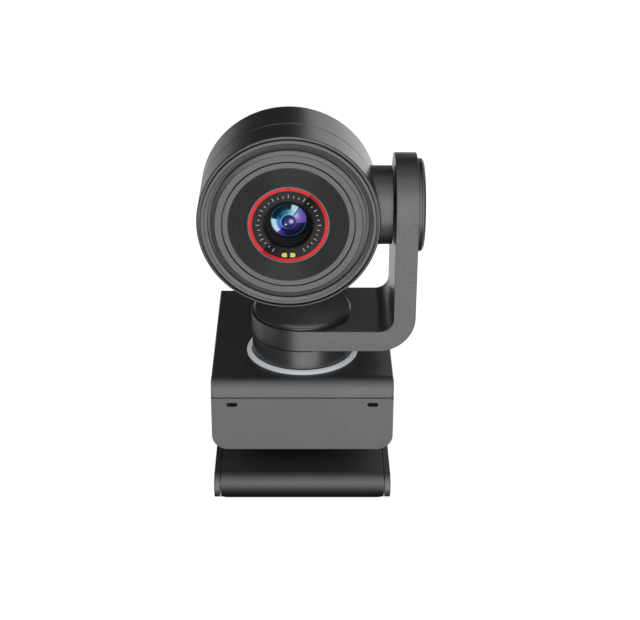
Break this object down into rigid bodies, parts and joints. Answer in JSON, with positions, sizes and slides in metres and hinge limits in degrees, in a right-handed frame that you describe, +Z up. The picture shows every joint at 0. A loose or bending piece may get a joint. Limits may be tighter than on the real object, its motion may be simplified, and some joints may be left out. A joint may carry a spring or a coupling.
{
  "type": "ptz camera",
  "caption": "Desktop pan-tilt camera: round head on an L-shaped arm over a low base, with a lip and a folding leg that clamp it on a monitor.",
  "frame": {"origin": "mouth of the 1/4-20 tripod thread under the foot, level with the surface that the camera stands on and on the pan axis", "axes": "+Z up along the pan axis, -Y forwards out of the lens, +X to the camera's right-hand picture side, along the tilt axis towards the arm"},
  "size_m": [0.0689, 0.0755, 0.1164],
  "materials": {
    "matte_shell": "fine textured matt",
    "arm_metal": "matt grey paint with a fine grain",
    "rubber": "matt",
    "light_guide": "translucent white",
    "circuit_board": "solder mask",
    "steel": "plated",
    "motor": "lacquered laminations",
    "brass": "turned",
    "flex": "polyimide film",
    "groove_disc": "fine turned grooves",
    "trim_grey": "satin",
    "red_accent": "satin",
    "black_gloss": "polished",
    "barrel_black": "matt black",
    "coated_glass": "blue and violet coating",
    "sensor_window": "yellow window",
    "aluminium": "cast"
  },
  "bodies": {
    "base": {"base_shell": "matte_shell", "base_bottom_cover": "matte_shell", "front_plate": "arm_metal", "lip_pad": "rubber", "shelf_pad": "rubber", "light_ring": "light_guide", "ring_led_board": "circuit_board", "pan_bearing": "steel", "pan_motor_stator": "motor", "control_board": "circuit_board", "usb_c_receptacle": "steel", "mic_boards": "circuit_board", "base_screws": "steel"},
    "clamp_leg": {"clamp_leg": "matte_shell", "leg_hinge_pin": "steel", "foot_hinge_pin": "steel"},
    "clamp_foot": {"clamp_foot": "matte_shell", "grip_pad": "rubber", "foot_pads": "rubber", "tripod_insert": "brass"},
    "pan_yoke": {"pan_collar": "arm_metal", "pan_shaft": "steel", "pan_motor_rotor": "motor", "pan_lock_nut": "steel", "collar_screws": "steel", "arm": "arm_metal", "pan_cap": "matte_shell", "tilt_shaft": "steel", "tilt_motor_stator": "motor", "tilt_lock_nut": "steel", "tilt_cap": "matte_shell", "arm_flex_cable": "flex"},
    "head": {"head_front_shell": "matte_shell", "head_rear_shell": "matte_shell", "tilt_hub": "matte_shell", "tilt_bearing_outer": "steel", "tilt_bearing_inner": "steel", "tilt_motor_rotor": "motor", "head_chassis": "aluminium", "front_bezel": "matte_shell", "inner_bezel_ring": "matte_shell", "groove_disc": "groove_disc", "trim_ring": "trim_grey", "red_ring": "red_accent", "lens_plate": "black_gloss", "tof_windows": "sensor_window", "tof_sensor": "black_gloss", "lens_barrel": "barrel_black", "lens_front_element": "coated_glass", "lens_inner_elements": "coated_glass", "lens_holder": "barrel_black", "image_sensor": "black_gloss", "sensor_board": "circuit_board", "processor_board": "circuit_board", "heat_sink": "aluminium", "head_screws": "steel"}
  },
  "joints": [
    {"name": "pan", "type": "hinge", "parent": "base", "child": "pan_yoke", "pos_m": [0, 0, 0.0387], "axis": [0, 0, 1], "range_deg": [-150, 150]},
    {"name": "tilt", "type": "hinge", "parent": "pan_yoke", "child": "head", "pos_m": [0.028, 0, 0.08875], "axis": [1, 0, 0], "range_deg": [-90, 45]},
    {"name": "leg_hinge", "type": "hinge", "parent": "base", "child": "clamp_leg", "pos_m": [0, 0.0375, 0.0062], "axis": [1, 0, 0], "range_deg": [0, 135]},
    {"name": "foot_hinge", "type": "hinge", "parent": "clamp_leg", "child": "clamp_foot", "pos_m": [0, -0.02715, 0.00485], "axis": [-1, 0, 0], "range_deg": [0, 150]}
  ]
}
